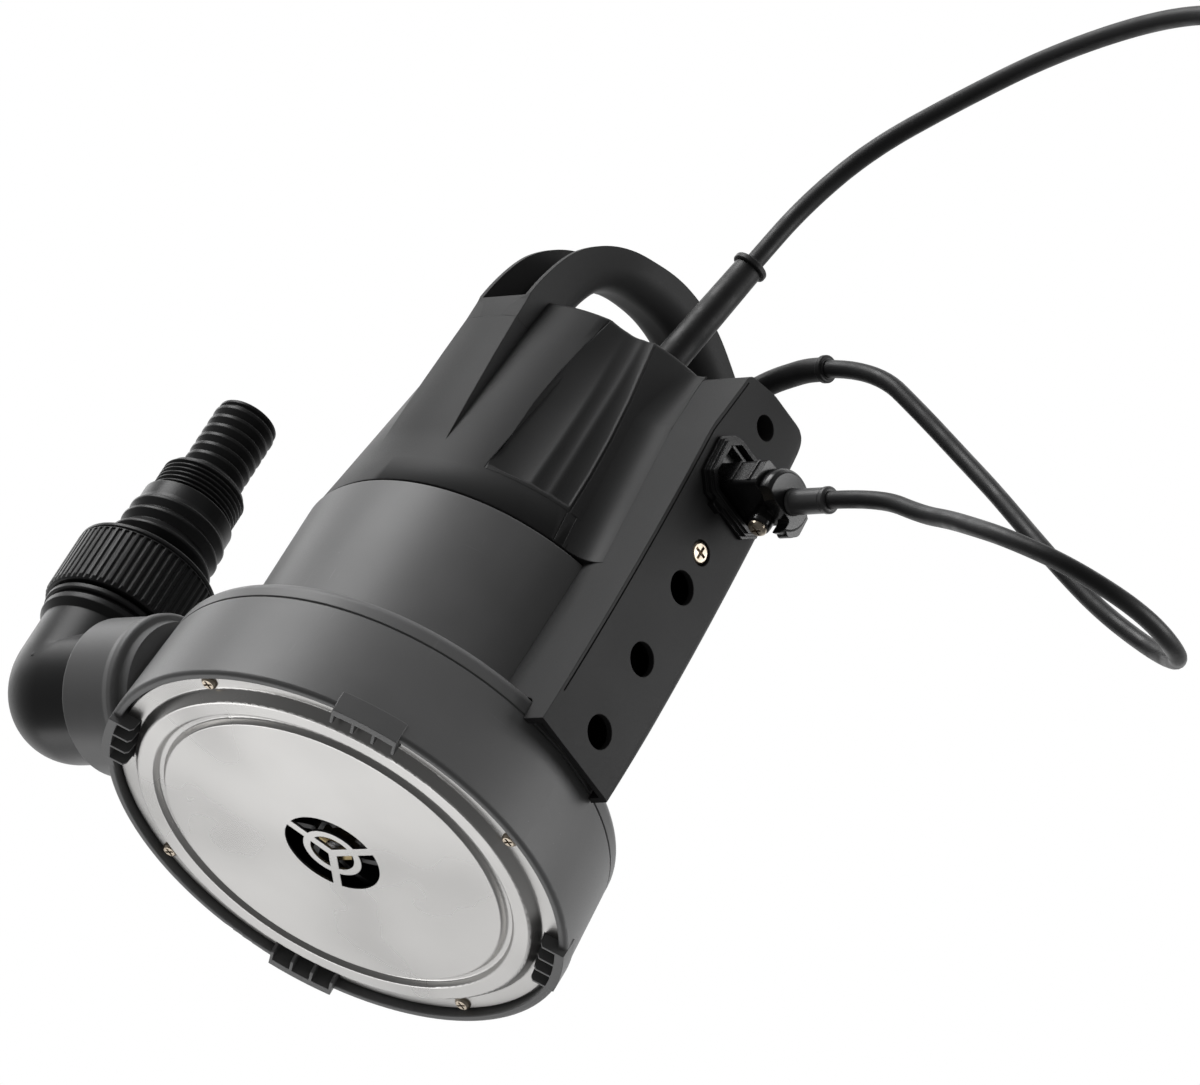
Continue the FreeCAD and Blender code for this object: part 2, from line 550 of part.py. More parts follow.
put("level_rail", big)
xs, xt = rail_x(RAIL_SCREW_Z) - 2.2, rail_x(RAIL_TOP_HOLE_Z) - 9.0
put("rail_screws",
    cross_screw(4.4, 2.0, 2.2, 26.0, (xs + 2.0, 0, RAIL_SCREW_Z), (-1, 0, 0)),
    cross_screw(4.4, 2.0, 2.2, 22.0, (xt + 2.0, 0, RAIL_TOP_HOLE_Z), (-1, 0, 0)))
for s in parts["rail_screws"].Solids:
    parts["upper_cover"] = parts["upper_cover"].cut(
        cyl(2.3, (s.BoundBox.XMin - 1, 0, s.BoundBox.Center.z), (s.BoundBox.XMax, 0, s.BoundBox.Center.z)))

# ---------------------------------------------------------------- level sensor
xf = rail_x(180.0)
BZ_Y0, BZ_Y1, BZ_Z0, BZ_Z1, BZ_C = -18.2, 18.8, 165.2, 194.4, 6.0


def octagon(inset):
    y0, y1, z0, z1, c = BZ_Y0 + inset, BZ_Y1 - inset, BZ_Z0 + inset, BZ_Z1 - inset, BZ_C - 0.4 * inset
    return [(y0, z0 + c, 1.0), (y0 + c, z0, 1.0), (y1 - c, z0, 1.0), (y1, z0 + c, 1.0), (y1, z1 - c, 1.0), (y1 - c, z1, 1.0),
            (y0 + c, z1, 1.0), (y0, z1 - c, 1.0)]


bez = ext_x(octagon(0.0), xf - 1.5, xf + 1.6).fuse([ext_x(octagon(0.9), xf, xf + 3.4), ext_x(octagon(1.7), xf, xf + 4.6),
                                                    box(xf - 1.5, -8.0, 163.4, xf + 2.6, -3.0, 167.0)])
bez = bez.cut(ext_x(octagon(3.4), xf - 5, xf + 10))
bez.rotate(V(xf, 0, 180.0), V(0, 1, 0), -5.71)
bez = bez.cut(rail_o)
frame_in = box(xf - 6.0, -13.7, 169.4, xf + 1.5, 14.3, 190.2).cut(box(xf - 7, -12.4, 170.7, xf + 10, 13.0, 188.9))
bez = bez.fuse(frame_in).cut(box(xf + 1.0, -12.4, 170.7, xf + 10, 13.0, 188.9))
put("sensor_bezel", max(bez.Solids, key=lambda q: q.Volume))
SA, SB = V(xf + 20.8, 4.5, 175.6), 12.2                                    # flange: centre, radius
arm = box(xf - 3.0, -9.8, 172.0, xf + 20.7, 12.6, 184.2)
arm = arm.makeFillet(2.2, [e for e in arm.Edges if e.BoundBox.XLength > 10])
body = fuse(box(xf - 5.6, -12.3, 170.8, xf - 2.0, 12.9, 188.8), arm,
            box(xf + 8.0, -10.4, 173.4, xf + 9.2, -6.0, 183.0), box(xf + 16.4, -10.4, 173.4, xf + 17.6, -6.0, 183.0))
body = body.cut([parts["sensor_bezel"], cyl(1.7, (107.5, 6.4, 165.0), (107.5, 6.4, 181.0))])
put("sensor_body", max(body.Solids, key=lambda q: q.Volume))
disc = rev_axis([(0, 0), (SB, 0, 0.8), (SB, 3.0), (SB - 0.5, 4.4, 1.2), (SB - 1.6, 5.6, 1.0), (0, 5.6)], (SA.x, SA.y, SA.z), (1, 0, 0))
plate2 = ext_x([(9.4, 166.8, 1.5), (13.4, 165.2, 2.0), (17.0, 169.6, 3.0), (16.4, 178.0), (9.4, 182.0)], SA.x, SA.x + 5.0)
notch = ext_x([(-20.0, 150.0), (9.4, 150.0), (9.4, 170.2, 1.5), (-1.0, 170.4, 3.0), (-20.0, 176.4)], SA.x - 1.0, SA.x + 7.0)
clamp = disc.cut(notch).fuse(plate2)
lug = rev([(0, 165.1), (4.2, 165.1, 0.6), (4.5, 167.0), (4.5, 171.8), (0, 171.8)], 107.5, 6.4).fuse(
    box(107.0, 3.4, 170.2, SA.x + 0.6, 11.4, 171.8))
clamp = fuse(clamp, lug).cut([cyl(1.9, (107.5, 6.4, 160.0), (107.5, 6.4, 171.9)), parts["sensor_body"], parts["sensor_bezel"]])
put("sensor_clamp", max(clamp.Solids, key=lambda q: q.Volume))
put("sensor_screw", cross_screw(3.65, 2.0, 1.65, 14.5, (107.5, 6.4, 163.0), (0, 0, 1)))
sx = xf + 26.45
sl = 137.0 - sx
put("sensor_sleeve", rev_axis([(0, 0), (5.3, 0, 0.4), (4.9, 1.6), (4.85, sl - 3.0), (4.6, sl - 2.7),
                               (5.15, sl - 2.3, 0.6), (5.15, sl - 0.4, 0.8), (4.1, sl), (0, sl)], (sx, 6.0, 176.5), (1, 0, 0)))

# --------------------------------------------------------------------- glands
g0, g1 = V(*GLAND1[0]), V(*GLAND1[1])
gd = g1 - g0
gl = gd.Length
gd.normalize()
g0b = g0 + gd * 0.8
sleeve1 = rev_axis([(0, 0), (6.6, 0), (6.4, 8), (5.7, gl - 1.2), (7.05, gl - 0.9, 0.7), (7.05, gl + 1.5, 0.9), (4.3, gl + 1.8),
                    (4.0, gl + 3.0), (0, gl + 3.0)], tuple(g0), tuple(gd))
sleeve1 = sleeve1.cut(box(20, -30, 210, 55, -5, 224.6))
put("power_cord_sleeve", sleeve1)
GL2 = [(36.0, 16.0, 224.6), (40.5, 16.0, 239.5), (54.4, 16.0, 251.6), (70.0, 16.0, 256.6), (79.0, 16.0, 256.8)]
w2, rr2 = tube_path(GL2)
s2 = w2.makePipeShell([Part.Wire([Part.makeCircle(4.6, V(*GL2[0]), V(*GL2[1]) - V(*GL2[0]))])], True, False)
s2 = s2.fuse(rev_axis([(0, 0), (5.3, 0, 0.7), (5.3, 2.5, 0.8), (4.2, 2.7), (3.9, 3.2), (0, 3.2)], (78.8, 16.0, 256.78), (1, 0, 0)))
s2 = s2.cut(box(20, 5, 210, 55, 30, 224.6))
put("sensor_cable_sleeve", s2)

# ------------------------------------------------------------ outlet and hose
ax = (ELBOW_X, OUT_Y)


def bend(r):
    """Quarter bend: a disc cut at the bend axis and turned about it."""
    cx, cz = ELBOW_X + ELBOW_RC, OUT_Z + ELBOW_RC
    disc_f = Part.Face(Part.Wire([Part.makeCircle(r, V(cx, OUT_Y, OUT_Z), V(1, 0, 0))]))
    keep = Part.Face(Part.makePolygon([V(cx, OUT_Y - 50, OUT_Z - 50), V(cx, OUT_Y + 50, OUT_Z - 50), V(cx, OUT_Y + 50, cz - 0.02),
                                       V(cx, OUT_Y - 50, cz - 0.02), V(cx, OUT_Y - 50, OUT_Z - 50)]))
    return disc_f.common(keep).Faces[0].revolve(V(cx, OUT_Y, cz), V(0, 1, 0), 90)


el = fuse(bend(ELBOW_R),
          cyl(ELBOW_R, (ELBOW_X + ELBOW_RC, OUT_Y, OUT_Z), (SOCKET_X - 0.4, OUT_Y, OUT_Z)),
          cyl(24.75, (SOCKET_X - 0.5, OUT_Y, OUT_Z), (SOCKET_X + 12.2, OUT_Y, OUT_Z)),
          cyl(ELBOW_R, (ELBOW_X, OUT_Y, OUT_Z + ELBOW_RC), (ELBOW_X, OUT_Y, 58.0)))
inner_corner = cyl(ELBOW_R, (ELBOW_X, OUT_Y, OUT_Z), (ELBOW_X + ELBOW_RC, OUT_Y, OUT_Z)).common(
    cyl(ELBOW_R, (ELBOW_X, OUT_Y, OUT_Z), (ELBOW_X, OUT_Y, OUT_Z + ELBOW_RC)))
collar = rev([(0, 56.0), (24.0, 56.0), (26.6, 59.6, 0.8), (26.6, 62.2, 0.8), (25.6, 62.6), (25.6, 63.2), (27.4, 63.6, 0.8),
              (27.4, 66.2, 0.9), (23.9, 66.5), (23.9, 86.0, 0.8), (0, 86.0)], *ax)
el = fuse(el, inner_corner, collar)
bore = bend(ELBOW_RI).fuse(
    [cyl(ELBOW_RI, (ELBOW_X + ELBOW_RC, OUT_Y, OUT_Z), (SOCKET_X + 30, OUT_Y, OUT_Z)),
     cyl(ELBOW_RI, (ELBOW_X, OUT_Y, OUT_Z + ELBOW_RC), (ELBOW_X, OUT_Y, 90)),
     cyl(ELBOW_RI, (ELBOW_X, OUT_Y, OUT_Z), (ELBOW_X + ELBOW_RC, OUT_Y, OUT_Z)).common(
         cyl(ELBOW_RI, (ELBOW_X, OUT_Y, OUT_Z), (ELBOW_X, OUT_Y, OUT_Z + ELBOW_RC)))])
groove = rev_axis([(23.2, 0), (30, 0), (30, 3.2), (23.2, 3.2)], (SOCKET_X + 6.0, OUT_Y, OUT_Z), (1, 0, 0))
el = el.cut([bore, groove])
put("outlet_elbow", el)
put("elbow_seal", rev_axis([(23.25, 0.1, 0.6), (24.8, 0.1, 0.7), (24.8, 3.1, 0.7), (23.25, 3.1, 0.6)],
                           (SOCKET_X + 6.0, OUT_Y, OUT_Z), (1, 0, 0)))

nutp = [(24.3, 67.2), (28.4, 67.2, 1.0), (29.3, 68.8), (29.3, 92.6), (28.5, 93.0), (29.2, 93.4, 0.4), (29.2, 94.8, 0.6), (27.8, 95.8),
        (19.5, 95.8), (19.5, 91.8), (24.3, 91.8)]
un = rev(nutp, *ax)
grooves = []
NUT_RIBS = 60
for k in range(NUT_RIBS):
    a = 2 * math.pi * k / NUT_RIBS
    c = cyl(0.98, (ELBOW_X + 29.55 * math.cos(a), OUT_Y + 29.55 * math.sin(a), 60),
            (ELBOW_X + 29.55 * math.cos(a), OUT_Y + 29.55 * math.sin(a), 92.3))
    grooves.append(c)
un = un.cut(grooves)
put("union_nut", un)
put("union_gasket", rev([(19.2, 86.05), (23.5, 86.05), (23.5, 87.9), (19.2, 87.9)], *ax))

hp = [(15.0, 88.0), (23.6, 88.0), (23.6, 91.5), (19.1, 91.5), (19.1, 100.2), (18.9, 100.6)]
for z, r in ((103.9, 21.4), (111.6, 20.4), (117.6, 20.0)):
    hp += [(18.5, z - 3.6), (r, z - 0.5, 0.3), (r, z + 0.5, 0.3), (r - 1.0, z + 1.4)]
hp += [(18.8, 120.6), (18.8, 126.8, 0.6), (15.9, 127.4), (15.9, 128.2)]
z = 128.4
while z < 140.6:
    hp += [(17.2, z + 0.25), (17.2, z + 0.65), (16.2, z + 1.35), (16.2, z + 1.6)]
    z += 2.05
hp += [(15.9, 141.4, 0.5), (12.0, 142.4), (11.7, 144.2)]
for k in range(6):
    zz = 146.5 + 4.66 * k
    hp += [(11.3, zz - 2.0), (12.6, zz + 0.6, 0.2), (12.6, zz + 2.0, 0.2), (11.4, zz + 2.6)]
hp += [(11.3, 173.0), (12.1, 173.8, 0.4), (12.1, 175.1, 0.4), (9.2, 175.1), (9.2, 141.0), (15.0, 120.0)]
put("hose_adapter", rev(hp, *ax))

# --------------------------------------------------------------- power cord
POWER = [
    (50.7, -16.5, 283.4), (57.9, -16.2, 312.5), (75.5, -16.9, 339.8), (109.8, -20.8, 357.4), (160.1, -30.6, 369.7),
    (219.1, -39.7, 373.6), (262.0, -43.5, 365.5), (289.5, -39.0, 338.0), (299.0, -24.0, 299.0), (299.4, 2.0, 259.0),
    (299.4, 33.0, 213.0), (299.0, 66.0, 165.0), (299.0, 101.0, 118.0), (298.8, 139.0, 75.0), (298.6, 177.0, 36.0),
    (298.0, 208.0, 9.0), (296.6, 238.0, 3.75),
]
put("power_cord", tube("power_cord", POWER, CORD_D))
cxc, cyc = COIL_C
coil = rev([
    (COIL_R - COIL_W / 2, 0.1, 4.0), (COIL_R + COIL_W / 2, 0.1, 4.0), (COIL_R + COIL_W / 2, COIL_H - 7.0, 5.0),
    (COIL_R + COIL_W / 2 - 8.0, COIL_H, 4.0), (COIL_R - COIL_W / 2 + 8.0, COIL_H, 4.0), (COIL_R - COIL_W / 2, COIL_H - 7.0, 5.0),
], cxc, cyc)
parts["power_cord"] = parts["power_cord"].cut(coil)
put("power_cord_coil", coil)
TAIL = [
    (243.0, 297.0, 39.2), (219.0, 298.5, 45.5), (194.0, 294.5, 46.5), (169.5, 283.5, 42.5), (149.5, 268.5, 33.5), (134.5, 250.0, 23.5),
    (122.0, 227.5, 18.4),
]
tail = tube("power_cord_tail", TAIL, CORD_D).cut(coil)
tail = max(tail.Solids, key=lambda q: q.Volume)
put("power_cord_tail", tail)
td = V(*TAIL[-1]) - V(*TAIL[-2])
td.z = 0
td.normalize()
pe = V(*TAIL[-1])

# Plug: body lying on the floor, prongs along its axis.
plug_dir = (td.x, td.y, 0)
pbase = (pe.x, pe.y, 18.4)
pb = rev_axis([(0, 0.05), (4.4, 0.05), (5.4, 6.0), (5.9, 16.0), (9.5, 22.0, 5.0), (17.8, 30.0, 5.0), (18.2, 40.0, 2.0), (18.2, 52.0, 1.5), (0, 52.0)],
              pbase, plug_dir)
put("plug_body", pb)
side = V(-plug_dir[1], plug_dir[0], 0)
pins = []
for sgn in (-1, 1):
    b = V(*pbase) + V(*plug_dir) * 52.0 + side * (9.5 * sgn)
    pins.append(rev_axis([(0, 0), (2.4, 0), (2.4, 17.5), (1.6, 19.0), (0, 19.0)], tuple(b), plug_dir))
put("plug_pins", *pins)

# --------------------------------------------------------------- sensor cable
SENSOR = [
    (82.0, 16.0, 256.8), (105.7, 16.0, 255.6), (131.0, 27.5, 240.0), (150.6, 35.7, 226.9), (170.6, 42.0, 213.4), (188.8, 47.7, 200.1),
    (209.7, 55.4, 185.1), (233.2, 64.8, 169.8), (265.1, 72.3, 153.9), (293.5, 57.9, 137.2), (302.2, 25.1, 128.5),
    (287.1, -2.9, 126.4), (260.8, -14.3, 131.5), (235.0, -10.5, 142.3), (212.5, -2.3, 154.4), (188.1, 5.6, 165.7),
    (161.0, 6.0, 176.5), (137.0, 6.0, 176.5),
]
put("sensor_cable", tube("sensor_cable", SENSOR, LEAD_D))

# --------------------------------------------------------------------- output
os.makedirs("parts", exist_ok=True)
total = 0.0
for name in sorted(parts):
    s = parts[name]
    b = s.BoundBox
    print("%-22s solids %2d valid %s vol %9.1f  x %.1f..%.1f y %.1f..%.1f z %.1f..%.1f" % (
        name, len(s.Solids), s.isValid(), s.Volume, b.XMin, b.XMax, b.YMin, b.YMax, b.ZMin, b.ZMax))
    s.exportStep("parts/%s.step" % name)
print(len(parts), "nodes")
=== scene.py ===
import math

import bmesh
import bpy
import numpy as np
from mathutils import Matrix, Vector


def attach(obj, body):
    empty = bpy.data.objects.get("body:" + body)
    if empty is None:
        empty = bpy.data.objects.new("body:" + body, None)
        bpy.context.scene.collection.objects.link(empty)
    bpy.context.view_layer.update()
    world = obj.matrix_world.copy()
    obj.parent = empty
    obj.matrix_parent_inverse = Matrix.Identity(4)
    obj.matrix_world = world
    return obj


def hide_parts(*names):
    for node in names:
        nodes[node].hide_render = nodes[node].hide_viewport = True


MM = 0.001
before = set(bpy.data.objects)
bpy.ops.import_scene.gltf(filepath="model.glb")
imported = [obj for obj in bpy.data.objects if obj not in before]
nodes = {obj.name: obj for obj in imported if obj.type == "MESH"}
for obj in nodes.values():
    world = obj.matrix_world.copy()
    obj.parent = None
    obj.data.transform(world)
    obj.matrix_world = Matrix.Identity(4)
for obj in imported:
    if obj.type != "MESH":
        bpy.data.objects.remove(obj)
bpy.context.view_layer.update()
scene = bpy.context.scene
rng = np.random.default_rng(7)

# ------------------------------------------------------------------ camera
AZ, EL, ROLL = math.radians(53.32), math.radians(-31.373), math.radians(31.805)
back = Vector((math.sin(AZ) * math.cos(EL), -math.cos(AZ) * math.cos(EL), math.sin(EL)))
right = Vector((math.cos(AZ), math.sin(AZ), 0.0))
up = back.cross(right)
right2 = math.cos(ROLL) * right + math.sin(ROLL) * up
up2 = -math.sin(ROLL) * right + math.cos(ROLL) * up
cam_data = bpy.data.cameras.new("camera")
cam_data.lens = 307.91
cam_data.sensor_width = 36.0
cam_data.sensor_fit = "HORIZONTAL"
cam_data.clip_start, cam_data.clip_end = 0.1, 40.0
cam = bpy.data.objects.new("camera", cam_data)
scene.collection.objects.link(cam)
m = Matrix.Identity(4)
for i in range(3):
    m[i][0], m[i][1], m[i][2] = right2[i], up2[i], back[i]
m.translation = Vector((2.6356, -1.9341, -1.8194))
cam.matrix_world = m
scene.camera = cam


# ------------------------------------------------------------ small helpers
def link(obj, body="pump"):
    if obj.name not in scene.collection.objects:
        scene.collection.objects.link(obj)
    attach(obj, body)
    return obj


def set_mat(obj, mat):
    obj.data.materials.clear()
    obj.data.materials.append(mat)


class Tree:
    """A material's nodes, built by calls that return sockets."""

    def __init__(self, name):
        self.mat = bpy.data.materials.new(name)
        self.mat.use_nodes = True
        self.t = self.mat.node_tree
        self.t.nodes.clear()
        self.out = self.t.nodes.new("ShaderNodeOutputMaterial")

    def n(self, kind, ins=None, **props):
        node = self.t.nodes.new(kind)
        for k, v in props.items():
            setattr(node, k, v)
        for k, v in (ins or {}).items():
            self.put(node.inputs[k], v)
        return node

    def put(self, socket, v):
        if isinstance(v, bpy.types.NodeSocket):
            self.t.links.new(v, socket)
        elif v is not None:
            if socket.type == "RGBA" and len(v) == 3:
                v = (*v, 1.0)
            socket.default_value = v

    def obj(self):
        return self.n("ShaderNodeTexCoord").outputs["Object"]

    def mapping(self, vec, scale=(1, 1, 1), rot=(0, 0, 0), loc=(0, 0, 0)):
        return self.n("ShaderNodeMapping", {"Vector": vec, "Scale": scale, "Rotation": rot, "Location": loc}).outputs[0]

    def noise(self, vec, scale, detail=2.0, rough=0.5, dist=0.0, out="Fac"):
        return self.n(
            "ShaderNodeTexNoise", {"Vector": vec, "Scale": scale, "Detail": detail, "Roughness": rough, "Distortion": dist}
        ).outputs[out]

    def voronoi(self, vec, scale, feature="F1", out="Distance", randomness=1.0):
        return self.n("ShaderNodeTexVoronoi", {"Vector": vec, "Scale": scale, "Randomness": randomness}, feature=feature).outputs[out]

    def math(self, op, a, b=0.0, c=0.0, clamp=False):
        node = self.n("ShaderNodeMath", operation=op, use_clamp=clamp)
        for s, v in zip(node.inputs, (a, b, c)):
            self.put(s, v)
        return node.outputs[0]

    def ramp(self, v, a, b, lo=0.0, hi=1.0, smooth=True):
        return self.n(
            "ShaderNodeMapRange",
            {"Value": v, "From Min": a, "From Max": b, "To Min": lo, "To Max": hi},
            interpolation_type="SMOOTHSTEP" if smooth else "LINEAR",
        ).outputs[0]

    def mix(self, f, a, b):
        node = self.n("ShaderNodeMix", data_type="RGBA")
        self.put(node.inputs[0], f)
        self.put(node.inputs[6], a)
        self.put(node.inputs[7], b)
        return node.outputs[2]

    def bump(self, height, strength, distance, normal=None):
        return self.n("ShaderNodeBump", {"Height": height, "Strength": strength, "Distance": distance, "Normal": normal}).outputs[0]

    def bevel(self, radius, samples=4):
        return self.n("ShaderNodeBevel", {"Radius": radius}, samples=samples).outputs[0]

    def edge(self, normal):
        g = self.n("ShaderNodeNewGeometry").outputs["Normal"]
        d = self.n("ShaderNodeVectorMath", operation="DOT_PRODUCT")
        self.put(d.inputs[0], g)
        self.put(d.inputs[1], normal)
        return self.ramp(d.outputs["Value"], 0.995, 0.86)

    def bsdf(self, **ins):
        node = self.n("ShaderNodeBsdfPrincipled")
        for k, v in ins.items():
            self.put(node.inputs[k.replace("_", " ")], v)
        self.t.links.new(node.outputs[0], self.out.inputs[0])
        return node


def plastic(name, color, rough=0.42, grain=0.25, grain_scale=1900.0, bevel=0.0005, edge_wear_and_highlight=0.35, scuff=0.5, vary=0.10, spec=0.5, flow=0.5):
    t = Tree(name)
    o = t.obj()
    cloud = t.noise(o, 14.0, 3.0, 0.55)
    streak = t.noise(t.mapping(o, (70.0, 70.0, 9.0)), 1.0, 2.0, 0.5)
    fine = t.noise(o, grain_scale, 2.0, 0.6)
    pit = t.voronoi(o, grain_scale * 0.55)
    nb = t.bevel(bevel)
    # edge mask: where the bevel normal bends away from the surface normal; it drives the painted edge highlight and
    # edge wear below
    edge = t.edge(nb)
    dark = tuple(c * (1.0 - vary) for c in color)
    light = tuple(min(1.0, c * (1.0 + vary) + 0.002) for c in color)
    col = t.mix(t.ramp(cloud, 0.3, 0.7), dark, light)
    col = t.mix(t.math("MULTIPLY", t.ramp(streak, 0.45, 0.75), 0.25 * flow), col, tuple(min(1, c * 1.25 + 0.004) for c in color))
    # thin scuffs: narrow bands of a stretched noise, only in places
    s1 = t.noise(t.mapping(o, (900.0, 40.0, 60.0), (0.3, 0.9, 0.5)), 1.0, 1.0, 0.4)
    s2 = t.noise(t.mapping(o, (50.0, 50.0, 1000.0), (0.7, 0.2, 1.1)), 1.0, 1.0, 0.4)
    place = t.ramp(t.noise(o, 22.0, 2.0, 0.6), 0.56, 0.72)
    scuffs = t.math("MULTIPLY", t.math("MAXIMUM", t.ramp(s1, 0.70, 0.76), t.ramp(s2, 0.72, 0.78)), place)
    scuffs = t.math("MULTIPLY", scuffs, scuff)
    col = t.mix(t.math("MULTIPLY", scuffs, 0.35), col, tuple(min(1, c * 2.0 + 0.03) for c in color))
    # painted edge highlight mixed with edge wear: colour lightened along the rounded edges
    col = t.mix(t.math("MULTIPLY", edge, edge_wear_and_highlight), col, tuple(min(1, c * 1.8 + 0.02) for c in color))
    # sparse dust specks
    sp = t.voronoi(o, 210.0)
    spm = t.math("MULTIPLY", t.ramp(sp, 0.045, 0.02), t.ramp(t.noise(o, 35.0, 1.0), 0.60, 0.68))
    col = t.mix(t.math("MULTIPLY", spm, 0.5), col, tuple(min(1, c * 2.2 + 0.05) for c in color))
    r = t.ramp(cloud, 0.25, 0.75, rough - 0.05, rough + 0.05)
    r = t.math("ADD", r, t.math("MULTIPLY", scuffs, 0.12))
    r = t.math("ADD", r, t.ramp(fine, 0.3, 0.7, -0.03, 0.03))
    h = t.math("ADD", t.math("MULTIPLY", fine, 0.6), t.math("MULTIPLY", pit, 0.4))
    nrm = t.bump(h, grain, 0.00006, nb)
    nrm = t.bump(t.noise(o, 55.0, 2.0, 0.5), 0.12, 0.0006, nrm)
    t.bsdf(Base_Color=col, Roughness=r, Normal=nrm, Specular_IOR_Level=spec)
    return t.mat


def steel(name, color=(0.57, 0.562, 0.55), rough=0.27, scratch=1.0, bevel=0.0004, smudge=1.0):
    t = Tree(name)
    o = t.obj()
    cloud = t.noise(o, 16.0, 1.0, 0.35)
    blot = t.noise(o, 40.0, 1.0, 0.35)
    grain = t.noise(t.mapping(o, (2600.0, 90.0, 300.0)), 1.0, 2.0, 0.6)
    nb = t.bevel(bevel)
    fields = []
    for i, (ang, s, lo) in enumerate(((0.35, 900.0, 0.79), (1.25, 1300.0, 0.80), (2.35, 760.0, 0.795))):
        v = t.noise(t.mapping(o, (s, 11.0 + 7 * i, 20.0), (0, 0, ang)), 1.0, 1.0, 0.4, 0.0)
        fields.append(t.ramp(v, lo, lo + 0.03))
    sc = t.math("MAXIMUM", t.math("MAXIMUM", fields[0], fields[1]), fields[2])
    sc = t.math("MULTIPLY", t.math("MULTIPLY", sc, scratch), t.ramp(t.noise(o, 31.0, 2.0, 0.6), 0.45, 0.65))
    col = t.mix(t.ramp(cloud, 0.3, 0.7), tuple(c * 0.93 for c in color), tuple(min(1, c * 1.05) for c in color))
    col = t.mix(t.math("MULTIPLY", t.ramp(blot, 0.35, 0.85), 0.22 * smudge), col, tuple(c * 0.82 for c in color))
    col = t.mix(t.math("MULTIPLY", sc, 0.08), col, (0.74, 0.73, 0.71))
    r = t.ramp(cloud, 0.25, 0.75, rough - 0.04, rough + 0.06)
    r = t.math("ADD", r, t.math("MULTIPLY", t.ramp(blot, 0.35, 0.85), 0.06 * smudge))
    r = t.math("ADD", r, t.math("MULTIPLY", sc, 0.05))
    nrm = t.bump(grain, 0.05, 0.00003, nb)
    nrm = t.bump(t.noise(o, 28.0, 2.0, 0.5), 0.10, 0.0008, nrm)
    t.bsdf(Base_Color=col, Metallic=1.0, Roughness=r, Normal=nrm)
    return t.mat


def rubber(name, color, rough=0.5, bump=0.35):
    t = Tree(name)
    o = t.obj()
    cloud = t.noise(o, 18.0, 3.0, 0.6)
    fine = t.noise(o, 900.0, 2.0, 0.6)
    lump = t.noise(o, 120.0, 2.0, 0.5)
    col = t.mix(t.ramp(cloud, 0.3, 0.7), tuple(c * 0.8 for c in color), tuple(c * 1.25 + 0.003 for c in color))
    dust = t.ramp(t.noise(o, 260.0, 3.0, 0.7), 0.62, 0.74)
    col = t.mix(t.math("MULTIPLY", dust, 0.18), col, tuple(min(1, c * 2.5 + 0.05) for c in color))
    r = t.ramp(lump, 0.3, 0.7, rough - 0.06, rough + 0.08)
    nrm = t.bump(fine, bump, 0.00008)
    nrm = t.bump(lump, 0.25, 0.0004, nrm)
    t.bsdf(Base_Color=col, Roughness=r, Normal=nrm)
    return t.mat


def metal(name, color, rough, bevel=0.0003, spots=0.4):
    t = Tree(name)
    o = t.obj()
    cloud = t.noise(o, 260.0, 3.0, 0.6)
    fine = t.noise(o, 1800.0, 2.0, 0.6)
    nb = t.bevel(bevel)
    col = t.mix(t.math("MULTIPLY", t.ramp(cloud, 0.5, 0.75), spots), color, tuple(c * 0.55 for c in color))
    r = t.ramp(cloud, 0.3, 0.75, rough - 0.05, rough + 0.12)
    nrm = t.bump(fine, 0.15, 0.00005, nb)
    t.bsdf(Base_Color=col, Metallic=1.0, Roughness=r, Normal=nrm)
    return t.mat


# --------------------------------------------------------------- materials
M = {
    "casing": plastic("casing_plastic", (0.185, 0.185, 0.186), 0.44, edge_wear_and_highlight=0.30),
    "sleeve": plastic("sleeve_plastic", (0.185, 0.185, 0.186), 0.46, edge_wear_and_highlight=0.30),
    "cover": plastic("cover_plastic", (0.043, 0.043, 0.0435), 0.52, edge_wear_and_highlight=0.10, spec=0.22),
    "black": plastic("fitting_plastic", (0.012, 0.012, 0.0125), 0.38, edge_wear_and_highlight=0.30, scuff=0.7, spec=0.38),
    "gloss": plastic("gloss_black", (0.011, 0.011, 0.0115), 0.22, grain=0.06, edge_wear_and_highlight=0.15, scuff=0.3, vary=0.05, spec=0.62),
    "imp": plastic("impeller_plastic", (0.02, 0.02, 0.021), 0.45),
    "steel": steel("stainless"),
    "can": steel("can_steel", rough=0.34, smudge=0.5),
    "screw": metal("screw_steel", (0.60, 0.52, 0.42), 0.30),
    "shaft": metal("shaft_steel", (0.55, 0.55, 0.56), 0.25),
    "lam": metal("laminations", (0.30, 0.30, 0.31), 0.5),
    "copper": metal("copper", (0.75, 0.36, 0.16), 0.35),
    "alloy": metal("alloy", (0.6, 0.6, 0.61), 0.45),
    "brass": metal("brass", (0.42, 0.33, 0.17), 0.34),
    "cord": rubber("cord_rubber", (0.020, 0.020, 0.021), 0.46),
    "boot": rubber("boot_rubber", (0.017, 0.017, 0.0175), 0.50),
    "arm_sleeve": plastic("sleeve_rubber", (0.085, 0.085, 0.086), 0.32, edge_wear_and_highlight=0.2, spec=0.6),
    "seal": rubber("seal_rubber", (0.012, 0.012, 0.012), 0.55),
    "pale": plastic("capacitor_plastic", (0.62, 0.61, 0.57), 0.4, edge_wear_and_highlight=0.1),
}
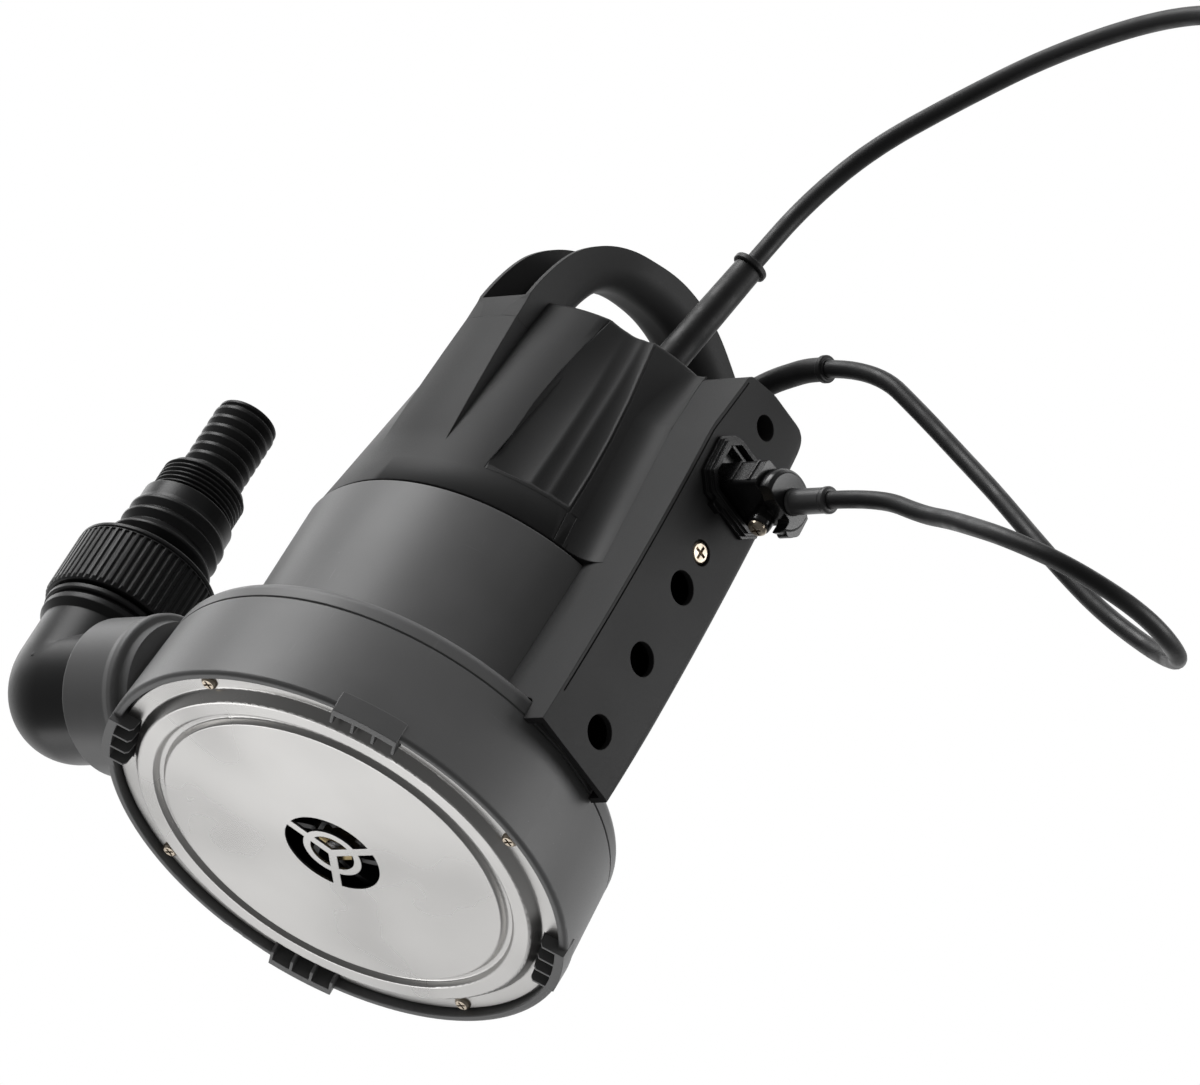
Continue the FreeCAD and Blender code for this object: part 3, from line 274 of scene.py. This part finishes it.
LOOK = {
    "casing": ["base_casing"],
    "sleeve": ["lower_housing"],
    "cover": ["upper_cover", "carrying_handle", "level_rail"],
    "black": ["outlet_elbow", "union_nut", "hose_adapter", "plug_body"],
    "arm_sleeve": ["sensor_sleeve"],
    "gloss": ["sensor_bezel", "sensor_body", "sensor_clamp"],
    "imp": ["impeller", "seal_carrier", "capacitor_cradle"],
    "steel": ["suction_plate"],
    "can": ["motor_can"],
    "screw": ["plate_screws", "rail_screws", "sensor_screw", "tie_screws"],
    "shaft": ["rotor_shaft", "lower_bearing", "upper_bearing"],
    "lam": ["stator_core"],
    "copper": ["windings"],
    "alloy": ["rotor_core", "upper_bracket"],
    "brass": ["plug_pins", "impeller_nut"],
    "boot": ["power_cord_sleeve", "sensor_cable_sleeve"],
    "seal": ["plate_gasket", "shaft_seal", "housing_seal", "elbow_seal", "union_gasket"],
    "pale": ["run_capacitor", "terminal_block"],
}
for key, names in LOOK.items():
    for name in names:
        set_mat(nodes[name], M[key])

# ------------------------------------------------ fluted shoulder of the cover
C0 = ((134, -58.6), (149, -59.6), (164, -59.3), (185, -58.1), (204, -55.7), (225, -52.0))
C1 = ((134, -44.2), (160, -43.8), (189, -43.9), (215, -45.2), (225, -45.8))
C2 = ((134, -37.7), (170, -37.9), (198, -38.0), (212, -38.5), (225, -39.2))
C3 = ((134, -30.9), (154, -30.7), (173, -31.1), (194, -32.3), (212, -34.1), (225, -35.4))
D1 = ((134, 0.2), (160, 0.45), (190, 1.5), (225, 3.0))
D2 = ((134, 0.2), (170, 0.5), (198, 1.2), (225, 2.2))
DA = ((134, 2.1), (175, 1.9), (205, 1.1), (225, 0.5))
DB = ((134, 1.2), (175, 1.1), (205, 1.0), (225, 0.9))
DC = ((134, 1.0), (175, 0.95), (205, 0.7), (225, 0.5))


def lookup(tab, z):
    return np.interp(z, [q[0] for q in tab], [q[1] for q in tab])


def sstep(a, b, x):
    t = np.clip((x - a) / (b - a), 0.0, 1.0)
    return t * t * (3 - 2 * t)


def scallops(az, c, d, z):
    deep = np.zeros_like(az)
    for k, tab in enumerate((DA, DB, DC)):
        u = (az - c[k]) / (c[k + 1] - c[k])
        inside = (u >= 0) & (u <= 1)
        uu = np.clip(u, 0, 1)
        deep = np.where(inside, d[k] * (1 - uu) + d[k + 1] * uu + lookup(tab, z) * (4 * uu * (1 - uu)) ** 0.9, deep)
    return deep


def shoulder_depth(az, z):
    """How far the moulded surface lies inside the plain cone, in mm."""
    c = [lookup(t, z) for t in (C0, C1, C2, C3)]
    d = [0.0, lookup(D1, z), lookup(D2, z), 0.0]
    w = np.exp(-(np.arange(-5, 6) / 3.6) ** 2)
    soft = sum(wi * scallops(az + 0.26 * i, c, d, z) for i, wi in zip(range(-5, 6), w)) / w.sum()
    crisp = scallops(az, c, d, z)
    near = np.maximum(np.exp(-((az - c[0]) / 0.7) ** 2), np.exp(-((az - c[3]) / 0.9) ** 2))
    deep = soft * (1 - near) + crisp * near
    deep = deep * sstep(135.8, 137.8, z)
    r = 73.4 - 0.12356 * (z - 119.6)
    mm_per_deg = r * math.pi / 180.0
    deep -= 0.30 * np.exp(-(((az - c[3] + 0.25) * mm_per_deg) / 0.42) ** 2) * sstep(135.5, 138.5, z)
    deep += 0.28 * np.exp(-(((az - c[3] - 0.55) * mm_per_deg) / 0.26) ** 2)
    deep += 0.20 * np.exp(-(((az - c[0] + 0.2) * mm_per_deg) / 0.30) ** 2) * sstep(132.0, 137.0, z)
    return deep


def shoulder_mesh():
    us = np.concatenate([[0.0, 0.004], np.linspace(0.006, 0.74, 270), np.linspace(0.75, 1.0, 26)])
    zs = np.concatenate([[134.3, 134.6], np.arange(134.8, 138.8, 0.22), np.arange(139.2, 221.6, 1.0)])
    z_all = np.concatenate([zs, [221.8]])
    lo = lookup(C0, z_all) - 0.45
    bm = bmesh.new()
    rings = []
    for k, u in enumerate(us):
        az = lo + (-18.5 - lo) * u
        fade = 1.0 - sstep(-21.0, -19.0, az)
        dep = np.array([float(shoulder_depth(np.array([a]), np.array([z]))[0]) for a, z in zip(az, z_all)]) * fade
        sink = 0.5 if k == 0 else (0.12 if k == 1 else 0.0)
        rad = 73.4 - 0.12356 * (z_all - 119.6) - dep + 0.02 - sink
        rad[0] -= 0.6
        prof = [(r, a, z) for r, a, z in zip(rad[:-1], az[:-1], zs)]
        r_top, a_top = float(rad[-1]), float(az[-1])
        for j in range(0, 7):
            t = j / 6 * math.pi / 2
            prof.append((r_top - 2.2 + 2.2 * math.cos(t) - 0.12 * math.sin(t), a_top, 221.82 + 2.2 * math.sin(t) - sink))
        prof += [(r_top - 4.5, a_top, 224.03 - sink), (50.0, a_top, 224.03 - sink), (50.0, a_top, 221.0), (r_top - 5.0, a_top, 221.0)]
        prof += [(r - 2.9, a, z) for r, a, z in zip(rad[:-1], az[:-1], zs)][::-8]
        prof += [(float(rad[0]) - 2.3, float(az[0]), 134.3)]
        rings.append([bm.verts.new((r * math.cos(math.radians(a)) * MM, r * math.sin(math.radians(a)) * MM, z * MM)) for r, a, z in prof])
    for p, q in zip(rings, rings[1:]):
        n = len(p)
        for i in range(n):
            j = (i + 1) % n
            bm.faces.new((p[i], q[i], q[j], p[j]))
    bm.faces.new(rings[0])
    bm.faces.new(list(reversed(rings[-1])))
    bmesh.ops.recalc_face_normals(bm, faces=bm.faces)
    for f in bm.faces:
        f.smooth = True
    for e in bm.edges:
        if len(e.link_faces) == 2 and e.calc_face_angle(0.0) > 0.7:
            e.smooth = False
    me = bpy.data.meshes.new("cover_shoulder")
    bm.to_mesh(me)
    bm.free()
    return me


def wedge_mesh():
    """The stretch of the plain wall that the fluted shoulder takes the place of, and the parting line below it."""
    bm = bmesh.new()
    rings = []
    for u in np.linspace(0.0, 1.0, 26):
        prof = []
        for r, z in ((50.4, 219.0), (50.4, 226.0), (90.0, 226.0), (90.0, 204.0), (90.0, 185.0), (90.0, 164.0), (90.0, 149.0), (90.0, 134.9),
                     (67.5, 134.9), (65.0, 149.0), (63.4, 164.0), (60.8, 185.0), (58.4, 204.0)):
            lo = float(lookup(C0, z)) - 0.28
            a = math.radians(lo + (-20.5 - lo) * u)
            prof.append((r * math.cos(a), r * math.sin(a), z))
        rings.append([bm.verts.new((x * MM, y * MM, z * MM)) for x, y, z in prof])
    for p, q in zip(rings, rings[1:]):
        for i in range(len(p)):
            j = (i + 1) % len(p)
            bm.faces.new((p[i], q[i], q[j], p[j]))
    bm.faces.new(rings[0])
    bm.faces.new(list(reversed(rings[-1])))
    low, high = [], []
    for a, z in ((-30.2, 119.0), (-30.9, 134.5)):
        row = low if z < 130 else high
        r0 = 73.4 - 0.12356 * (z - 119.6) - 0.28
        for r, da in ((r0, -0.13), (r0, 0.13), (r0 + 4, 0.13), (r0 + 4, -0.13)):
            t = math.radians(a + da)
            row.append(bm.verts.new((r * math.cos(t) * MM, r * math.sin(t) * MM, z * MM)))
    bm.faces.new(low)
    bm.faces.new(list(reversed(high)))
    for i in range(4):
        j = (i + 1) % 4
        bm.faces.new((low[i], high[i], high[j], low[j]))
    bmesh.ops.recalc_face_normals(bm, faces=bm.faces)
    me = bpy.data.meshes.new("wedge")
    bm.to_mesh(me)
    bm.free()
    return me


def cut_copy(name, source, cutter_mesh):
    """A copy of a node's mesh in world space with the cutter's volume taken out."""
    me = source.data.copy()
    me.transform(source.matrix_world)
    tmp = bpy.data.objects.new(name + "_tmp", me)
    cut = bpy.data.objects.new(name + "_cut", cutter_mesh)
    scene.collection.objects.link(tmp)
    scene.collection.objects.link(cut)
    mod = tmp.modifiers.new("cut", "BOOLEAN")
    mod.operation, mod.solver, mod.object = "DIFFERENCE", "EXACT", cut
    bpy.context.view_layer.update()
    dg = bpy.context.evaluated_depsgraph_get()
    out = bpy.data.meshes.new_from_object(tmp.evaluated_get(dg))
    out.name = name
    for o in (tmp, cut):
        bpy.data.objects.remove(o, do_unlink=True)
    return out


def flank_blend_mesh():
    """The soft hollow where the cover's wall runs out into the rail's flank."""
    bm = bmesh.new()
    rings = []
    for z in np.linspace(119.7, 221.4, 70):
        r = 73.4 - 0.12356 * (z - 119.6) + 0.02
        ye = (-25.4 + (z - 41.0) * 2.2 / 148.0 if z < 189 else -23.2 + (z - 189.0) * 0.1715) - 0.03
        xc = math.sqrt(r * r - ye * ye)
        reach = 10.0 - 4.0 * float(sstep(185.0, 222.0, z))
        a0 = math.atan2(ye, xc) - reach / r
        p0 = (r * math.cos(a0), r * math.sin(a0))
        p2 = (xc + reach, ye)
        pts = [(p0[0] - 1.2, p0[1] + 0.5)]
        for k in range(13):
            t = k / 12
            q = [(1 - t) ** 2 * a + 2 * t * (1 - t) * b + t * t * c for a, b, c in zip(p0, (xc, ye), p2)]
            pts.append(q)
        pts += [(p2[0] + 0.4, ye + 0.6), (xc + 1.5, ye + 2.0), (xc - 2.5, ye + 1.2)]
        rings.append([bm.verts.new((x * MM, y * MM, z * MM)) for x, y in pts])
    for p, q in zip(rings, rings[1:]):
        for i in range(len(p)):
            j = (i + 1) % len(p)
            bm.faces.new((p[i], q[i], q[j], p[j]))
    bm.faces.new(rings[0])
    bm.faces.new(list(reversed(rings[-1])))
    bmesh.ops.recalc_face_normals(bm, faces=bm.faces)
    for f in bm.faces:
        f.smooth = True
    for e in bm.edges:
        if len(e.link_faces) == 2 and e.calc_face_angle(0.0) > 0.7:
            e.smooth = False
    me = bpy.data.meshes.new("flank_blend")
    bm.to_mesh(me)
    bm.free()
    return me


cover_obj = link(bpy.data.objects.new("cover_body", cut_copy("cover_body", nodes["upper_cover"], wedge_mesh())))
set_mat(cover_obj, M["cover"])
shoulder = link(bpy.data.objects.new("cover_shoulder", shoulder_mesh()))
set_mat(shoulder, M["cover"])
blend = link(bpy.data.objects.new("flank_blend", flank_blend_mesh()))
set_mat(blend, M["cover"])
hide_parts("upper_cover")

# ------------------------------------------------------------------- cords
CORD_D, LEAD_D = 0.0072, 0.0068
POWER = [
    (50.0, -16.5, 280.5), (50.7, -16.5, 283.4), (57.9, -16.2, 312.5), (75.5, -16.9, 339.8), (109.8, -20.8, 357.4), (160.1, -30.6, 369.7),
    (219.1, -39.7, 373.6), (262.0, -43.5, 365.5), (289.5, -39.0, 338.0), (299.0, -24.0, 299.0), (299.4, 2.0, 259.0),
    (299.4, 33.0, 213.0), (299.0, 66.0, 165.0), (299.0, 101.0, 118.0), (298.8, 139.0, 75.0), (298.6, 177.0, 36.0), (298.0, 208.0, 9.0),
]
COIL_C, COIL_R = (232.0, 248.0), 50.0
TAIL = [
    (243.0, 297.0, 39.2), (219.0, 298.5, 45.5), (194.0, 294.5, 46.5), (169.5, 283.5, 42.5), (149.5, 268.5, 33.5), (134.5, 250.0, 23.5),
    (122.0, 227.5, 18.4),
]


def coil_points():
    """The wound turns: five layers of five and a part layer that lies in the gaps on top."""
    pts, per = [], 14
    order = []
    for layer in range(5):
        cols = [14.4, 7.2, 0.0, -7.2, -14.4]
        if layer % 2:
            cols = cols[::-1]
        order += [(c, 3.65 + 7.15 * layer) for c in cols]
    order += [(c, 3.65 + 28.6 + 6.3) for c in (-10.8, -3.6, 3.6, 10.8)]
    a0 = -8.8
    for k, (c, z0) in enumerate(order):
        nc, nz = order[min(k + 1, len(order) - 1)]
        for j in range(per):
            f = j / per
            s = max(0.0, (f - 0.72) / 0.28)
            s = s * s * (3 - 2 * s)
            r = COIL_R + c + (nc - c) * s + rng.normal(0, 0.3)
            z = z0 + (nz - z0) * s + (rng.normal(0, 0.2) if k > 4 else 0.0)
            a = math.radians(a0 + 360.0 * (k + f))
            pts.append((COIL_C[0] + r * math.cos(a), COIL_C[1] + r * math.sin(a), max(z, 3.65)))
    for a, r, z in ((-8.8, 60.8, 39.0), (12.0, 59.5, 41.0), (33.0, 56.5, 43.5), (54.0, 52.8, 43.8)):
        a = math.radians(a)
        pts.append((COIL_C[0] + r * math.cos(a), COIL_C[1] + r * math.sin(a), z))
    return pts


def cord_curve(name, pts, dia, mat):
    cu = bpy.data.curves.new(name, "CURVE")
    cu.dimensions = "3D"
    sp = cu.splines.new("NURBS")
    sp.points.add(len(pts) - 1)
    for p, q in zip(sp.points, pts):
        p.co = (q[0] * MM, q[1] * MM, q[2] * MM, 1.0)
    sp.order_u = 3
    sp.use_endpoint_u = True
    sp.resolution_u = 10
    cu.bevel_mode = "ROUND"
    cu.bevel_depth = dia / 2
    cu.bevel_resolution = 6
    cu.use_fill_caps = True
    cu.materials.append(mat)
    return bpy.data.objects.new(name, cu)


power = link(cord_curve("power_cord_line", POWER + coil_points() + TAIL, CORD_D, M["cord"]), "pump")
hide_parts("power_cord", "power_cord_coil", "power_cord_tail")
SENSOR = [
    (80.5, 16.0, 256.8), (105.7, 16.0, 255.6), (131.0, 27.5, 240.0), (150.6, 35.7, 226.9), (170.6, 42.0, 213.4), (188.8, 47.7, 200.1),
    (209.7, 55.4, 185.1), (233.2, 64.8, 169.8), (265.1, 72.3, 153.9), (293.5, 57.9, 137.2), (302.2, 25.1, 128.5),
    (287.1, -2.9, 126.4), (260.8, -14.3, 131.5), (235.0, -10.5, 142.3), (212.5, -2.3, 154.4), (188.1, 5.6, 165.7),
    (161.0, 6.0, 176.5), (136.0, 6.0, 176.5),
]
lead = link(cord_curve("sensor_cable_line", SENSOR, LEAD_D, M["cord"]), "pump")
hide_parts("sensor_cable")

# ------------------------------------------------------------ floor, light
fm = Tree("floor")
fg = fm.n("ShaderNodeNewGeometry").outputs["Backfacing"]
fo = fm.obj()
fcol = fm.mix(fm.ramp(fm.noise(fo, 3.0, 2.0), 0.3, 0.7), (0.80, 0.80, 0.80), (0.83, 0.83, 0.83))
fd = fm.n("ShaderNodeBsdfDiffuse", {"Color": fcol})
ft = fm.n("ShaderNodeBsdfTransparent")
fx = fm.n("ShaderNodeMixShader", {0: fg, 1: fd.outputs[0], 2: ft.outputs[0]})
fm.t.links.new(fx.outputs[0], fm.out.inputs[0])
bm = bmesh.new()
bmesh.ops.create_circle(bm, cap_ends=True, radius=9.0, segments=96)
me = bpy.data.meshes.new("floor")
bm.to_mesh(me)
bm.free()
floor = bpy.data.objects.new("floor", me)
scene.collection.objects.link(floor)
set_mat(floor, fm.mat)
floor.visible_shadow = False
floor.visible_diffuse = False
floor.visible_glossy = False
floor.visible_transmission = False

world = bpy.data.worlds.new("world")
scene.world = world
world.use_nodes = True
wt = world.node_tree
wt.nodes.clear()


def wnode(kind, ins=None, **props):
    node = wt.nodes.new(kind)
    for k, v in props.items():
        setattr(node, k, v)
    for k, v in (ins or {}).items():
        if isinstance(v, bpy.types.NodeSocket):
            wt.links.new(v, node.inputs[k])
        else:
            node.inputs[k].default_value = v
    return node


wdir = wnode("ShaderNodeTexCoord").outputs["Generated"]
behind = wnode("ShaderNodeVectorMath", {0: wdir, 1: tuple(-back)}, operation="DOT_PRODUCT").outputs["Value"]
g1 = wnode("ShaderNodeMapRange", {"Value": behind, "From Min": -0.9, "From Max": 0.3, "To Min": 0.10, "To Max": 0.24}, interpolation_type="SMOOTHSTEP").outputs[0]
g2 = wnode("ShaderNodeMapRange", {"Value": behind, "From Min": 0.3, "From Max": 0.97, "To Min": 0.0, "To Max": 0.75}, interpolation_type="SMOOTHSTEP").outputs[0]
g3 = wnode("ShaderNodeMath", {0: g1, 1: g2}, operation="ADD").outputs[0]
lp = wnode("ShaderNodeLightPath")
b1 = wnode("ShaderNodeBackground", {0: (1.0, 1.0, 1.0, 1.0), 1: 1.0})
b2 = wnode("ShaderNodeBackground", {0: (1.0, 1.0, 1.0, 1.0), 1: g3})
mx = wnode("ShaderNodeMixShader", {0: lp.outputs["Is Camera Ray"], 1: b2.outputs[0], 2: b1.outputs[0]})
wnode("ShaderNodeOutputWorld", {0: mx.outputs[0]})


def area(name, direction, distance, size, power, target=(0.0, 0.0, 0.12), size_y=None):
    li = bpy.data.lights.new(name, "AREA")
    li.shape = "RECTANGLE"
    li.size, li.size_y = size, size_y or size
    li.energy = power
    ob = bpy.data.objects.new(name, li)
    scene.collection.objects.link(ob)
    d = Vector(direction).normalized()
    ob.location = Vector(target) + d * distance
    ob.rotation_mode = "QUATERNION"
    ob.rotation_quaternion = d.to_track_quat("Z", "Y")
    ob.visible_camera = False
    return ob


def from_camera(x, y, z):
    """A direction given in the photograph's own axes: right, up, towards the camera."""
    return right2 * x + up2 * y + back * z


area("key", from_camera(-0.37, 0.92, -0.14), 1.6, 0.85, 15.0)
area("low_box", from_camera(-0.60, -0.72, -0.10), 1.7, 0.8, 4.5)
area("fill", from_camera(1.0, 0.0, 0.05), 1.7, 0.9, 8.5)
area("top", (0.1, 0.2, 1.0), 1.7, 1.3, 3.0)
area("edge_card", from_camera(-0.44, 0.41, -0.80), 1.7, 1.0, 4.2)
area("plate_card", (-0.685, 0.51, -0.52), 1.6, 1.5, 1.4)

scene.view_settings.view_transform = "Standard"
scene.view_settings.look = "None"
scene.view_settings.exposure = 0.0

bpy.context.view_layer.update()
